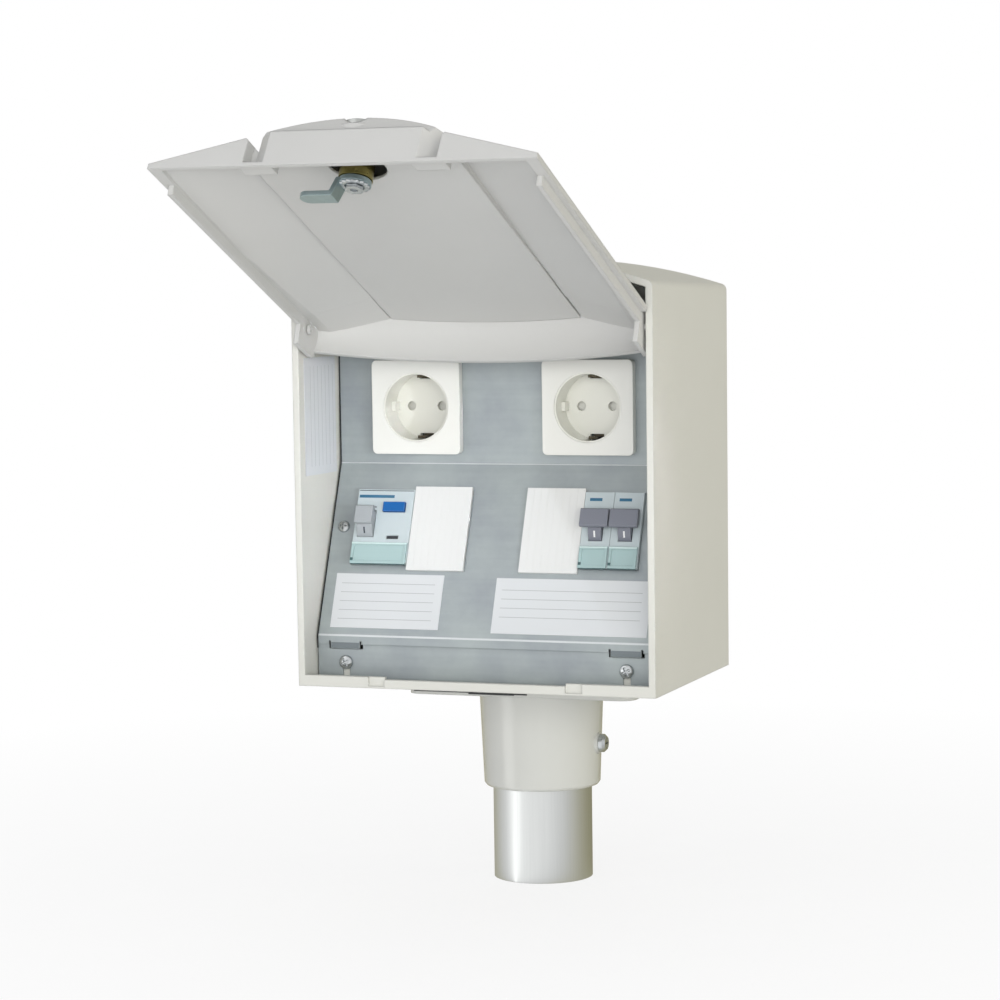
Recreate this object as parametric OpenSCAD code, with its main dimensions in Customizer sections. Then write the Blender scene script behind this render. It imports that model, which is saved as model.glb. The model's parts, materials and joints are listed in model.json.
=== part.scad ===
// Garden socket post head: a top-hinged weather box on a tube, with two sockets and modular switchgear.
// Box frame used inside the modules: x across, y from the front rim to the back, z up from the box floor.
// at_box() carries that frame to the part frame, whose origin is the centre of the tube's lower end.

/* [Box] */
// Outside width of the box, mm
box_w = 217; // [190:1:250]
// Depth of the box from the front rim to the back, mm
box_d = 150; // [145:1:190]
// Height of the roof crown above the underside of the floor, mm
box_h = 248.5; // [238:0.5:270]
// Rise of the roof arch from the sides to the crown, mm
roof_rise = 17; // [12:0.5:19]
// Fall of the roof towards the back, degrees
roof_fall = 1.3; // [0:0.1:2]
// Side wall thickness, mm
wall = 4; // [3.5:0.1:5]
// Roof thickness, mm
roof_t = 4; // [3:0.1:5]
// Back wall thickness, mm
back_t = 3.5; // [2.5:0.1:5]
// Floor thickness, mm
floor_t = 3; // [2:0.1:3.5]
// Height of the lip along the front of the floor, mm
lip_h = 6.5; // [5.5:0.1:8]

/* [Lid] */
// Angle the lid stands open at rest, degrees
lid_open = 113.5; // [95:0.5:118]
// Hinge axis below the roof crown, mm
hinge_drop = 42; // [40:0.5:45]
// Hinge axis behind the front rim, mm
hinge_back = 4.2; // [3.8:0.1:4.8]
// Shell thickness of the lid, mm
lid_t = 2.8; // [2.2:0.1:3.2]
// How far the lid's middle band stands proud of the rim, mm
lid_bulge = 25.2; // [22:0.2:28]
// How far the flat side panels stand proud at the grooves, mm
lid_facet = 13.5; // [11:0.5:15]
// Half distance between the two grooves, mm
groove_x = 51; // [45:0.5:60]
// How much deeper the side panels stand at the lock end, mm
lid_swell = 4; // [0:0.2:5]
// How much deeper the middle band stands at the lock end, mm
band_swell = 7.6; // [0:0.2:9]
// Gap between the closed lid and the front rim, mm
lid_gap = 0.6; // [0.4:0.1:1]
// Hinge pin radius, mm
hinge_r = 2; // [1.8:0.1:2.7]
// Running clearance of the hinge pin in the lid, mm
hinge_fit = 0.05; // [0.03:0.01:0.09]

/* [Lock] */
// Height of the lock axis above the closed lid's lower edge, mm
lock_z = 25; // [25:0.5:32]
// Lock barrel radius, mm
lock_r = 9; // [8:0.1:10]
// Plug radius, mm
plug_r = 6; // [5.5:0.1:6.6]
// Running clearance of the plug in the barrel, mm
plug_fit = 0.05; // [0.03:0.01:0.09]
// Reach of the tongue from the lock axis, mm
cam_len = 29; // [20:0.5:29]
// Width of the tongue, mm
cam_w = 10; // [8:0.5:12]
// Thickness of the tongue, mm
cam_t = 2.5; // [2:0.1:3]

/* [Mounting plate] */
// Sheet thickness, mm
plate_t = 1.5; // [1:0.1:2]
// Front face of the upper panel behind the front rim, mm
panel_y = 57; // [54:0.5:60]
// Height of the fold between the upper panel and the sloped panel, mm
fold_z = 126.6; // [124:0.2:128]
// Front face of the lower lip behind the front rim, mm
lower_y = 16.8; // [15.5:0.1:18]
// Height of the fold above the lower lip, mm
lower_z = 27.5; // [26.5:0.1:29]

/* [Sockets] */
// Half distance between the two sockets, mm
socket_x = 53; // [46:0.5:58]
// Height of the socket centres, mm
socket_z = 159.7; // [157:0.1:161]
// Side of the square cover, mm
cover_a = 55; // [50:0.5:58]
// How far the cover stands proud of the panel, mm
cover_t = 5.5; // [4:0.1:8]
// Radius of the plug well, mm
well_r = 19.3; // [19:0.1:19.7]
// Depth of the plug well, mm
well_d = 17.5; // [15:0.5:19]
// Distance between the two pin holes, mm
pin_pitch = 19; // [18:0.1:20]
// Radius of a pin hole, mm
pin_r = 2.7; // [2.3:0.1:3]

/* [Switchgear] */
// Width of one module, mm
module_w = 17.8; // [17.5:0.05:18]
// Distance from each side wall to the outer end of its window, mm
win_margin = 16.2; // [15.5:0.1:20]
// Window height, mm
window_h = 46; // [45.8:0.1:47]
// Middle of the windows below the upper fold, along the slope, mm
window_t = 40; // [38:0.5:41]
// How far a device nose stands proud of the plate, mm
nose_w = 2.5; // [1.5:0.1:3.5]
// Travel of the test button, mm
test_travel = 1.2; // [0.8:0.1:1.6]

/* [Post] */
// Outside radius of the tube, mm
tube_r = 30; // [28:0.5:31]
// Tube wall, mm
tube_wall = 3; // [2:0.1:4]
// Tube length below the collar, mm
tube_out = 56.7; // [40:0.1:1200]
// Tube length inside the collar, mm
tube_in = 55; // [30:0.5:56]
// Tube axis in front of the back, mm
tube_back = 33; // [32:0.5:36]
// Collar height below its flange, mm
collar_h = 58; // [57:0.5:70]
// Collar radius under the flange, mm
collar_r = 37.6; // [36.5:0.1:42]
// Collar radius at its lower end, mm
collar_r2 = 35.3; // [34:0.1:40]
// Slide clearance of the tube in the collar, mm
collar_fit = 0.1; // [0.05:0.01:0.15]
// Flange thickness, mm
flange_t = 9.4; // [8.5:0.1:12]
// Flange half width, mm
flange_hw = 71; // [66:0.5:76]
// Rubber gasket thickness, mm
gasket_t = 4; // [2:0.1:5]
// Radius of the cable way through the floor, mm
way_r = 24; // [20:0.5:25]

/* [Hidden] */
$fn = 64;
hw = box_w/2;
tube_y = box_d - tube_back;
in_hw = hw - wall;
arch_r = (hw*hw + roof_rise*roof_rise)/(2*roof_rise);
arch_z = box_h - arch_r;
box_z = tube_out + collar_h + flange_t + gasket_t;
hinge_z = box_h - hinge_drop;
roof_gap = 4.9;
lid_hw = hw - 2.2;
lid_lo = 0.5;
cheek_gap = 1.5;
cheek_out = in_hw - cheek_gap;
cheek_t = 3;
cheek_in = cheek_out - cheek_t;
cheek_y = 17;
top_y = 13;
flange_top = hinge_z - 10.5;
lid_draft = 11;
barrel_r = arch_r - roof_t;
barrel_c = arch_z - hinge_z - roof_gap - (hinge_back + 40)*tan(roof_fall);
band_x = groove_x - 1.3;
band_lo = lid_facet + 0.8;
band_r = (band_x*band_x + pow(lid_bulge - band_lo, 2))/(2*(lid_bulge - band_lo));
lid_edge = 3.2;
lid_len = flange_top - lid_lo;
panel_lean = atan(lid_swell/lid_len);
band_lean = atan(band_swell/lid_len);
panel_k = (lid_facet + lid_swell - lid_edge)/(lid_hw - groove_x - 3.3);
panel_t = lid_t*sqrt(1 + panel_k*panel_k);
groove_y = lid_facet + lid_gap - 1.1;
ridge = groove_y - 1.6;
ridge_x = groove_x + 6.5;
end_z = lid_lo + (lid_bulge + band_swell)*tan(lid_draft);
lock_seat = -(lid_bulge + band_swell*(flange_top - lock_z)/lid_len + lid_gap - 3.3);
lock_pad = lock_seat + 6;
lock_end = -3;
cam_step = 7.4;
plate_hw = in_hw - 0.8;
rail_y = lower_y + plate_t;
slope = atan((panel_y - lower_y)/(fold_z - lower_z));
slope_len = norm([panel_y - lower_y, fold_z - lower_z]);
miter = plate_t*tan(slope/2);
plate_top = socket_z + 33;
slot_z = lower_z - 5.3;
screw_z = 12.3;
screw_x = hw - 22.5;
side_x = in_hw - 8.8;
cover_y = panel_y - cover_t;
well_y = cover_y + 0.6;
insert_t = 0.9;
insert_floor = 3;
insert_back = well_y + well_d + insert_floor;
base_d = 24;
win_w = 4*module_w;
win_x = in_hw - win_margin - win_w;
dev_x = win_x + 2*module_w;
body_lo = -67;
rail_w = body_lo + 7.5;
hub_r = 9.6;
hub_v = -(window_t - 1.6);
hub_w = -3;
hub_fit = 0.05;
test_gap = 0.3;
liner_t = 1.5;
liner_lo = lid_lo + ridge*tan(lid_draft) + lid_t + 1.4;
band_end = [13, 7, 8];
end_block = 13;
roof_edge = 1.5;
gear_y = panel_y - (window_t - 17.5)*sin(slope) - body_lo*cos(slope);
block = [80, 18, 24];
block_z = 70;
bar = [42, 8, 8];
bar_x = in_hw - 52.5;
bar_z = 76;
tube_turn = 0.5;
fscrew_in = 15;
flange_y0 = tube_y - 43;
flange_y1 = box_d - 1;
fscrew_x = flange_hw - fscrew_in;
tube_top = -gasket_t - flange_t - collar_h + tube_in;

// Carry the box frame to the part frame
module at_box() { translate([0, -tube_y, box_z]) children(); }

// Slope frame: x across, y up the slope, z out of the plate, origin on the upper fold
module at_slope() { at_box() translate([0, panel_y, fold_z]) rotate([90 - slope, 0, 0]) children(); }

// Lid frame: the closed lid in box coordinates, turned about the hinge to its open rest
module at_lid() {
  at_box() translate([0, hinge_back, hinge_z]) rotate([-lid_open, 0, 0])
    translate([0, -hinge_back, -hinge_z]) children();
}

// A box from its two corners
module span(a, b) { translate(a) cube(b - a); }

// Pan-head screw along +z with its head seat at z = 0 and its shank below
module pan_screw(head_r, head_t, shank_r, len) {
  difference() {
    union() {
      cylinder(r = head_r, h = head_t*0.6);
      translate([0, 0, head_t*0.6]) cylinder(r1 = head_r, r2 = head_r*0.72, h = head_t*0.4);
      translate([0, 0, -len]) cylinder(r = shank_r, h = len + 0.01);
    }
    for (a = [0, 90]) rotate([0, 0, a]) span([-head_r*0.55, -0.4, head_t*0.45], [head_r*0.55, 0.4, head_t + 1]);
  }
}

// Post and collar
module post_tube() {
  color("#b9bbb8") at_box() translate([0, tube_y, -box_z]) difference() {
    union() {
      cylinder(r = tube_r, h = tube_out - 0.3);
      cylinder(r = tube_r - tube_turn, h = box_z + tube_top);
    }
    translate([0, 0, -1]) cylinder(r = tube_r - tube_wall, h = box_z + tube_top + 2);
  }
}

// Height of the collar screws, and the outer end of their bosses
cscrew_z = -gasket_t - flange_t - 32.2;
cboss_r = collar_r - 0.4;

module collar_boss(a) {
  translate([0, tube_y, cscrew_z]) rotate([0, 0, a]) rotate([0, 90, 0]) children();
}

module post_collar() {
  top = -gasket_t;
  low = top - flange_t - collar_h;
  color("#c9cac6") at_box() difference() {
    union() {
      span([-flange_hw, flange_y0 + 9, top - flange_t], [flange_hw, flange_y1, top]);
      span([-flange_hw + 9, flange_y0, top - flange_t], [flange_hw - 9, flange_y0 + 9, top]);
      for (s = [-1, 1]) translate([s*(flange_hw - 9), flange_y0 + 9, top - flange_t]) cylinder(r = 9, h = flange_t);
      translate([0, tube_y, low + 1.5]) cylinder(r1 = collar_r2, r2 = collar_r, h = collar_h - 1.5);
      translate([0, tube_y, low]) cylinder(r1 = collar_r2 - 1.2, r2 = collar_r2, h = 1.5);
      for (a = [0, 90]) collar_boss(a) translate([0, 0, tube_r + 1]) cylinder(r = 6.5, h = cboss_r - tube_r - 1);
    }
    translate([0, tube_y, low - 1]) cylinder(r = tube_r - tube_turn + collar_fit, h = tube_top - low + 1);
    translate([0, tube_y, low]) cylinder(r = way_r, h = collar_h + flange_t + 1);
    for (a = [0, 90]) collar_boss(a) translate([0, 0, tube_r - 2]) cylinder(r = 4, h = 13);
    for (s = [-1, 1]) for (y = fscrew_ys()) translate([s*fscrew_x, y, top - 7.5]) cylinder(r = 2.5, h = 9);
    span([-flange_hw + 5, flange_y0 - 1, top - 6.6], [6, flange_y0 + 12, top + 1]);
  }
}

function fscrew_ys() = [flange_y0 + 22, flange_y1 - 10];

module collar_screw(a) {
  len = cboss_r - tube_r + tube_turn;
  color("#c4c7c8") at_box() collar_boss(a) translate([0, 0, cboss_r]) pan_screw(5.5, 4.2, 4, len);
}
module collar_screw_side() { collar_screw(0); }
module collar_screw_back() { collar_screw(90); }

module base_gasket() {
  color("#2a2b2c") at_box() difference() {
    union() {
      span([-flange_hw + 2, flange_y0 + 2, -gasket_t], [flange_hw - 2, flange_y1 - 2, 0]);
      span([-flange_hw + 5.3, flange_y0 + 0.4, -gasket_t - 6.2], [5.7, flange_y0 + 11.7, 0]);
    }
    translate([0, tube_y, -gasket_t - 1]) cylinder(r = way_r, h = gasket_t + 2);
    for (s = [-1, 1]) for (y = fscrew_ys()) translate([s*fscrew_x, y, -gasket_t - 1]) cylinder(r = 2.8, h = gasket_t + 2);
  }
}

module flange_screw(s, i) {
  color("#c4c7c8") at_box() translate([s*fscrew_x, fscrew_ys()[i], floor_t]) pan_screw(4.8, 3.4, 2.5, floor_t + gasket_t + 7);
}
module flange_screw_1() { flange_screw(-1, 0); }
module flange_screw_2() { flange_screw(1, 0); }
module flange_screw_3() { flange_screw(-1, 1); }
module flange_screw_4() { flange_screw(1, 1); }

// Box shell: the arched section run from front to back and tipped by the roof fall
corner_r = 4;
corner_z = arch_z + sqrt(pow(arch_r - corner_r, 2) - pow(hw - corner_r, 2));
corner_a = atan2(corner_z - arch_z, hw - corner_r);

module shell_section(inset, top_inset) {
  intersection() {
    translate([0, arch_z]) circle(r = arch_r - top_inset, $fn = 200);
    translate([-hw + inset, -30]) square([2*(hw - inset), box_h + 40]);
  }
}

module corner_cut() {
  for (s = [-1, 1]) scale([s, 1]) polygon(concat([[hw + 3, corner_z]],
    [for (i = [0:6]) [hw - corner_r, corner_z] + corner_r*[cos(corner_a*i/6), sin(corner_a*i/6)]],
    [[hw - corner_r, corner_z] + (corner_r + 8)*[cos(corner_a), sin(corner_a)], [hw + 3, corner_z + 14]]));
}

module along_box(y0, y1) {
  rotate([-roof_fall, 0, 0]) translate([0, y1, 0]) rotate([90, 0, 0]) linear_extrude(height = y1 - y0) children();
}

module housing() {
  notch_x = groove_x + 9;
  color("#cfd0c6") at_box() difference() {
    union() {
      difference() {
        intersection() {
          along_box(-20, box_d + 20) difference() { shell_section(0, 0); corner_cut(); }
          span([-hw, 0, 0], [hw, box_d, box_h + 20]);
        }
        intersection() {
          along_box(-20, box_d + 20) shell_section(wall, roof_t);
          span([-hw, -1, floor_t], [hw, box_d - back_t, box_h + 20]);
        }
      }
      span([-in_hw - 0.5, 0, floor_t - 1], [in_hw + 0.5, wall, lip_h]);
      for (s = [-1, 1]) {
        rail_boss(s);
        side_boss(s);
        plate_ledge(s);
        rail_ledge(s);
      }
      for (s = [-1, 1]) wall_post([s*(block[0]/2 - 10), block_y + block[1], block_z + block[2]/2], 5);
      for (i = [0, 1]) wall_post([bar_x + 6 + i*(bar[0] - 12), bar_y + bar[1], bar_z + bar[2]/2], 4);
    }
    for (s = [-1, 1]) {
      span([s*notch_x - 5, -1, 1.2], [s*notch_x + 5, 1.6, lip_h + 1]);
      translate([s*(in_hw - 1), hinge_back, hinge_z]) rotate([0, s*90, 0]) cylinder(r = hinge_r, h = 4.2);
      translate([s*screw_x, rail_y, screw_z]) rotate([-90, 0, 0]) cylinder(r = 2, h = 16);
    }
    span([-notch_x + 5, -1, lip_h - 1.4], [notch_x - 5, wall + 1, lip_h + 1]);
    roof_bevel();
    translate([0, tube_y, -1]) cylinder(r = way_r, h = floor_t + 2);
    for (s = [-1, 1]) for (y = fscrew_ys()) translate([s*fscrew_x, y, -1]) cylinder(r = 2.8, h = floor_t + 2);
    for (s = [-1, 1]) in_slope() translate([s*side_x, -window_t, -plate_t - 12]) cylinder(r = 2, h = 14);
    for (s = [-1, 1]) in_slope() translate([s*(in_hw - 5), -window_t, body_lo - 7]) cylinder(r = 1.8, h = 8);
  }
}

// Bevel under the roof's front edge, on the arch of the inside
module roof_bevel() {
  r = arch_r - roof_t;
  intersection() {
    rotate([-roof_fall, 0, 0]) translate([0, -0.5, arch_z]) rotate([-90, 0, 0])
      cylinder(r1 = r + roof_edge + 0.5, r2 = r, h = roof_edge + 0.5, $fn = 200);
    span([-in_hw, -1, box_h/2], [in_hw, roof_edge + 4, box_h + 20]);
  }
}

module in_slope() { translate([0, panel_y, fold_z]) rotate([90 - slope, 0, 0]) children(); }

// Square post from the back wall to the point p, half as wide as h says
module wall_post(p, h) { span([p[0] - h, p[1], p[2] - h], [p[0] + h, box_d - back_t + 1, p[2] + h]); }

module rail_boss(s) {
  translate([s*screw_x, rail_y + plate_t, screw_z]) rotate([-90, 0, 0]) cylinder(r = 5, h = 18);
  span([s*screw_x - 4, rail_y + plate_t, floor_t - 1], [s*screw_x + 4, rail_y + plate_t + 18, screw_z]);
}

module side_boss(s) {
  in_slope() translate([s*side_x, -window_t, -plate_t - 16]) cylinder(r = 4.5, h = 16);
  in_slope() span([min(s*side_x, s*(in_hw + 1)), -window_t - 3.5, -plate_t - 16],
    [max(s*side_x, s*(in_hw + 1)), -window_t + 3.5, -plate_t]);
}

module plate_ledge(s) {
  span([min(s*(in_hw - 8), s*(in_hw + 1)), panel_y + plate_t, plate_top - 24],
    [max(s*(in_hw - 8), s*(in_hw + 1)), panel_y + plate_t + 8, plate_top - 2]);
}

module rail_ledge(s) {
  in_slope() span([min(s*(in_hw - 9), s*(in_hw + 1)), -window_t - 17, body_lo - 9],
    [max(s*(in_hw - 9), s*(in_hw + 1)), -window_t + 17, body_lo]);
}

module cable_grommet() {
  color("#2a2b2c") at_box() translate([0, tube_y, 0]) difference() {
    union() {
      cylinder(r = way_r, h = floor_t);
      translate([0, 0, floor_t]) cylinder(r1 = way_r + 3.5, r2 = way_r + 2.5, h = 2.5);
    }
    translate([0, 0, -1]) cylinder(r = way_r - 6, h = 10);
  }
}

module hinge_pin(s) {
  color("#c4c7c8") at_box() translate([s*(cheek_in - 0.4), hinge_back, hinge_z]) rotate([0, s*90, 0]) difference() {
    union() {
      translate([0, 0, -1.6]) cylinder(r = hinge_r + 0.8, h = 1.6);
      cylinder(r = hinge_r, h = in_hw + 3.2 - cheek_in + 0.4);
    }
    translate([0, 0, -2]) cylinder(r = 1, h = 1.2);
  }
}
module hinge_pin_left() { hinge_pin(-1); }
module hinge_pin_right() { hinge_pin(1); }

// The closed lid's pieces below its flange lean out from the flange towards the lock end
module lean(t) {
  translate([0, -lid_gap, flange_top]) rotate([-t, 0, 0]) translate([0, lid_gap, -flange_top]) children();
}

// Outer face of a side panel at distance x from the middle, and its inner face, at the flange
function side_depth(x) = lid_gap + lid_facet - panel_k*(x - groove_x - 3.3);
function out_depth(x) = max(side_depth(x), lid_gap + lid_edge);
function in_depth(x) = max(side_depth(x) - panel_t, lid_gap);

// Lid sections, seen along z: flat side panels, groove floor and arched middle band
module panel_out(half) {
  for (s = [-1, 1]) scale([s, 1]) polygon([[groove_x - 8, 30], [groove_x - 8, -side_depth(groove_x + 3.3) + 11.3],
    [groove_x + 3.3, -side_depth(groove_x + 3.3)], [half, -side_depth(half)], [half, 30]]);
}

module panel_in() {
  for (s = [-1, 1]) scale([s, 1]) polygon([[ridge_x, 30], [ridge_x, -side_depth(ridge_x) + panel_t],
    [cheek_in - 0.4, -side_depth(cheek_in - 0.4) + panel_t], [cheek_in - 0.4, 30]]);
}

module band_out(half) {
  intersection() {
    translate([0, -lid_bulge - lid_gap + band_r]) circle(r = band_r, $fn = 200);
    translate([-half, -lid_bulge - lid_gap - 1]) square([2*half, lid_bulge]);
  }
}

module band_in(half) {
  intersection() {
    translate([0, -lid_bulge - lid_gap + band_r]) circle(r = band_r - lid_t, $fn = 200);
    translate([-half, -lid_bulge - lid_gap]) square([2*half, lid_bulge + lid_gap - 4]);
  }
}

// Straight sections used above the flange
module top_out() {
  x1 = min(groove_x + 3.3 + (lid_facet - lid_edge)/panel_k, cheek_out - 0.3);
  d = side_depth(groove_x + 3.3);
  polygon([[-cheek_out, -lid_gap], [-cheek_out, -out_depth(cheek_out)], [-x1, -out_depth(x1)], [-groove_x - 3.3, -d],
    [-groove_x - 3.3 + d - groove_y, -groove_y], [groove_x + 3.3 - d + groove_y, -groove_y], [groove_x + 3.3, -d],
    [x1, -out_depth(x1)], [cheek_out, -out_depth(cheek_out)], [cheek_out, -lid_gap]]);
  band_out(band_x - 0.25);
}

module top_in(back) {
  rx = ridge_x + 0.8;
  x1 = min(groove_x + 3.3 + (lid_facet - panel_t)/panel_k, cheek_in - 0.3);
  polygon([[-cheek_in, back], [-cheek_in, -in_depth(cheek_in)], [-x1, -in_depth(x1)], [-rx, -in_depth(rx)],
    [-rx, -ridge], [rx, -ridge], [rx, -in_depth(rx)], [x1, -in_depth(x1)],
    [cheek_in, -in_depth(cheek_in)], [cheek_in, back]]);
  band_in(band_x - 3.3);
}

// Barrel about the hinge axis: its outline is the roof arch, so the lid's top swings under the roof
module barrel(inset, half) {
  translate([0, hinge_back, hinge_z]) rotate([0, 90, 0]) rotate_extrude($fn = 128) intersection() {
    translate([barrel_c, 0]) circle(r = barrel_r - inset, $fn = 200);
    translate([0, -half]) square([60, 2*half]);
  }
}

module below_draft(lift) {
  translate([0, -lid_gap, lid_lo + lift]) rotate([-lid_draft, 0, 0]) span([-hw - 20, -90, -60], [hw + 20, 60, 0]);
}

// Bevel of the arched band's lower end, a plane under the crown
module band_bevel() {
  top = -lid_bulge - lid_gap;
  translate([0, top + band_end[0], end_z]) rotate([-atan2(band_end[1], band_end[0]), 0, 0])
    span([-band_x - 5, -60, -40], [band_x + 5, 0, 0]);
}

// Notch where each groove meets the lower end: the band's corner is cut away down to the rim
module end_notch() {
  intersection() {
    translate([0, -lid_gap, lid_lo]) rotate([-lid_draft, 0, 0]) translate([0, 8, 0]) rotate([90, 0, 0])
      linear_extrude(height = 80) for (s = [-1, 1]) scale([s, 1])
        polygon([[band_x - band_end[2], -6], [band_x - band_end[2], 0], [band_x + 0.3, band_end[2] + 0.3],
          [groove_x + 2, band_end[2] + 0.3], [groove_x + 2, -6]]);
    span([-hw, -90, -20], [hw, -lid_gap - 2.4, 60]);
  }
}

// Solid corners left in the hollow behind the notches
module notch_block(gap) {
  for (s = [-1, 1]) span([min(s*(band_x - 11.5 - gap), s*(groove_x + 5.4 + gap)), -60, -1],
    [max(s*(band_x - 11.5 - gap), s*(groove_x + 5.4 + gap)), -lid_gap - 1 + gap, lid_lo + end_block + gap]);
}

// Flat liner over the band's hollow, with a round opening for the lock's nut
module lid_liner() {
  color("#c6c7c5") at_lid() difference() {
    union() {
      span([-ridge_x + 0.2, -ridge, liner_lo], [ridge_x - 0.2, -ridge + liner_t, flange_top]);
      intersection() {
        span([-ridge_x + 0.2, -ridge, flange_top - 0.01], [ridge_x - 0.2, -ridge + liner_t, box_h]);
        barrel(lid_t + 0.3, cheek_in);
      }
    }
    translate([0, -ridge - 1, lock_z]) rotate([-90, 0, 0]) cylinder(r = 15.5, h = 10);
    notch_block(0.3);
  }
}

module lid_hollow() {
  difference() {
    union() {
      lean(panel_lean) translate([0, 0, -20]) linear_extrude(height = flange_top + 40) panel_in();
      span([-ridge_x - 0.4, -ridge, -20], [ridge_x + 0.4, 30, flange_top + 5]);
      lean(band_lean) translate([0, 0, -20]) linear_extrude(height = flange_top + 40) band_in(band_x - 3.6);
    }
    below_draft(lid_t + 0.2);
    span([-hw, -60, -1], [hw, -band_lo - 1, end_z + 8]);
    notch_block(0);
  }
}

module lid_low() {
  difference() {
    intersection() {
      span([-lid_hw, -60, lid_lo], [lid_hw, -lid_gap, flange_top]);
      union() {
        span([-hw, -lid_gap - lid_edge, -1], [hw, 5, flange_top + 1]);
        span([-groove_x - 5, -groove_y, -1], [groove_x + 5, 5, flange_top + 1]);
        lean(panel_lean) translate([0, 0, -20]) linear_extrude(height = flange_top + 40) panel_out(hw + 30);
        lean(band_lean) difference() {
          translate([0, 0, -20]) linear_extrude(height = flange_top + 40) band_out(band_x);
          band_bevel();
        }
      }
    }
    below_draft(0);
    end_notch();
    lid_hollow();
  }
}

module lid() {
  color("#c6c7c5") at_lid() difference() {
    union() {
      lid_low();
      lid_top();
      for (s = [-1, 1]) span([min(s*cheek_in, s*cheek_out), -lid_gap - 1, lid_lo + 20],
        [max(s*cheek_in, s*cheek_out), 5, flange_top + 1]);
      translate([0, lock_seat + 1, lock_z]) rotate([-90, 0, 0]) cylinder(r = 14.5, h = lock_pad - lock_seat - 1);
    }
    translate([0, lock_seat, lock_z]) rotate([90, 0, 0]) cylinder(r = 12, h = 20);
    translate([0, lock_seat - 1, lock_z]) rotate([-90, 0, 0]) cylinder(r = lock_r, h = 12);
    translate([0, lock_pad, lock_z]) rotate([-90, 0, 0]) cylinder(r = 15, h = -ridge - lock_pad + 0.5);
    for (s = [-1, 1]) translate([s*(cheek_in - 1), hinge_back, hinge_z]) rotate([0, s*90, 0])
      cylinder(r = hinge_r + hinge_fit, h = cheek_t + 2);
  }
}

// The lid above its flange: cheeks between the walls and a barrel-shaped top
module lid_top() {
  difference() {
    intersection() {
      union() {
        translate([0, 0.3, flange_top]) linear_extrude(height = 80) top_out();
        span([-cheek_out, -lid_gap - 0.2, flange_top], [cheek_out, cheek_y, flange_top + 80]);
      }
      union() {
        barrel(0, cheek_out);
        span([-cheek_out, -60, flange_top - 1], [cheek_out, cheek_y + 1, hinge_z]);
      }
    }
    intersection() {
      translate([0, -0.2, flange_top - 5]) linear_extrude(height = 90) top_in(cheek_y + 5);
      union() {
        barrel(lid_t, cheek_in);
        span([-cheek_in, -60, flange_top - 6], [cheek_in, cheek_y + 6, hinge_z]);
      }
    }
    span([-cheek_in, top_y, hinge_z - 2], [cheek_in, top_y + 30, hinge_z + 60]);
  }
}

// Lock: barrel, nut, turning plug, bent tongue and its screw
module at_lock() { at_lid() translate([0, 0, lock_z]) rotate([-90, 0, 0]) children(); }

module lock_barrel() {
  color("#b5a060") at_lock() difference() {
    union() {
      translate([0, 0, lock_seat - 3]) cylinder(r = 11, h = 3);
      translate([0, 0, lock_seat]) cylinder(r = lock_r, h = lock_end - lock_seat);
    }
    translate([0, 0, lock_seat - 5]) cylinder(r = plug_r + plug_fit, h = 60);
  }
}

module lock_nut() {
  color("#b5a060") at_lock() translate([0, 0, lock_pad]) difference() {
    cylinder(r = lock_r + 4.6, h = 4, $fn = 6);
    translate([0, 0, -1]) cylinder(r = lock_r, h = 6);
  }
}

module lock_plug() {
  color("#c8c9c8") at_lock() difference() {
    translate([0, 0, lock_seat - 2.6]) cylinder(r = plug_r, h = lock_end - lock_seat + 2.6 + 0.4);
    span([-0.8, -3.6, lock_seat - 5], [0.8, 3.6, lock_seat + 4]);
    translate([0, 0, lock_end - 7]) cylinder(r = 2, h = 10);
  }
}

// Tongue: a strip cranked by cam_step, pointing to -x at rest, with a round hub and a round end
module lock_cam() {
  z0 = lock_end + 0.4;
  end = cam_len - cam_w/2;
  bend = 7;
  run = cam_step*0.4;
  k = cam_t*tan(atan2(cam_step, run)/2);
  color("#a4b1b4") at_lock() difference() {
    union() {
      translate([0, 0, z0]) cylinder(r = 8.5, h = cam_t);
      intersection() {
        translate([0, cam_w/2, z0]) rotate([90, 0, 0]) linear_extrude(height = cam_w)
          polygon([[0, 0], [-bend - k, 0], [-bend - k - run, cam_step], [-cam_len, cam_step], [-cam_len, cam_step + cam_t],
            [-bend - run, cam_step + cam_t], [-bend, cam_t], [0, cam_t]]);
        translate([0, 0, z0 - 1]) union() {
          span([-end, -cam_w, 0], [1, cam_w, cam_step + cam_t + 2]);
          translate([-end, 0, 0]) cylinder(r = cam_w/2, h = cam_step + cam_t + 2);
        }
      }
    }
    translate([0, 0, z0 - 1]) cylinder(r = 2, h = 10);
  }
}

module cam_screw() {
  color("#c4c7c8") at_lock() translate([0, 0, lock_end + 0.4 + cam_t]) difference() {
    union() {
      cylinder(r = 5, h = 3, $fn = 6);
      translate([0, 0, -cam_t - 6]) cylinder(r = 2, h = cam_t + 6.01);
    }
    translate([0, 0, 1.6]) cylinder(r = 2, h = 3);
  }
}

// Sheet metal: the bottom rail and the folded mounting plate with its lower lip and tabs
module bottom_rail() {
  color("#aab0b3") at_box() difference() {
    span([-plate_hw, rail_y, floor_t], [plate_hw, rail_y + plate_t, lower_z - 1.2]);
    for (s = [-1, 1]) {
      span([s*screw_x - 10.6, rail_y - 1, slot_z - 2.1], [s*screw_x + 10.6, rail_y + plate_t + 1, slot_z + 2.1]);
      span([s*screw_x - 2.2, rail_y - 1, floor_t - 1], [s*screw_x + 2.2, rail_y + plate_t + 1, screw_z]);
      translate([s*screw_x, rail_y - 1, screw_z]) rotate([-90, 0, 0]) cylinder(r = 2.2, h = plate_t + 2);
    }
  }
}

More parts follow.
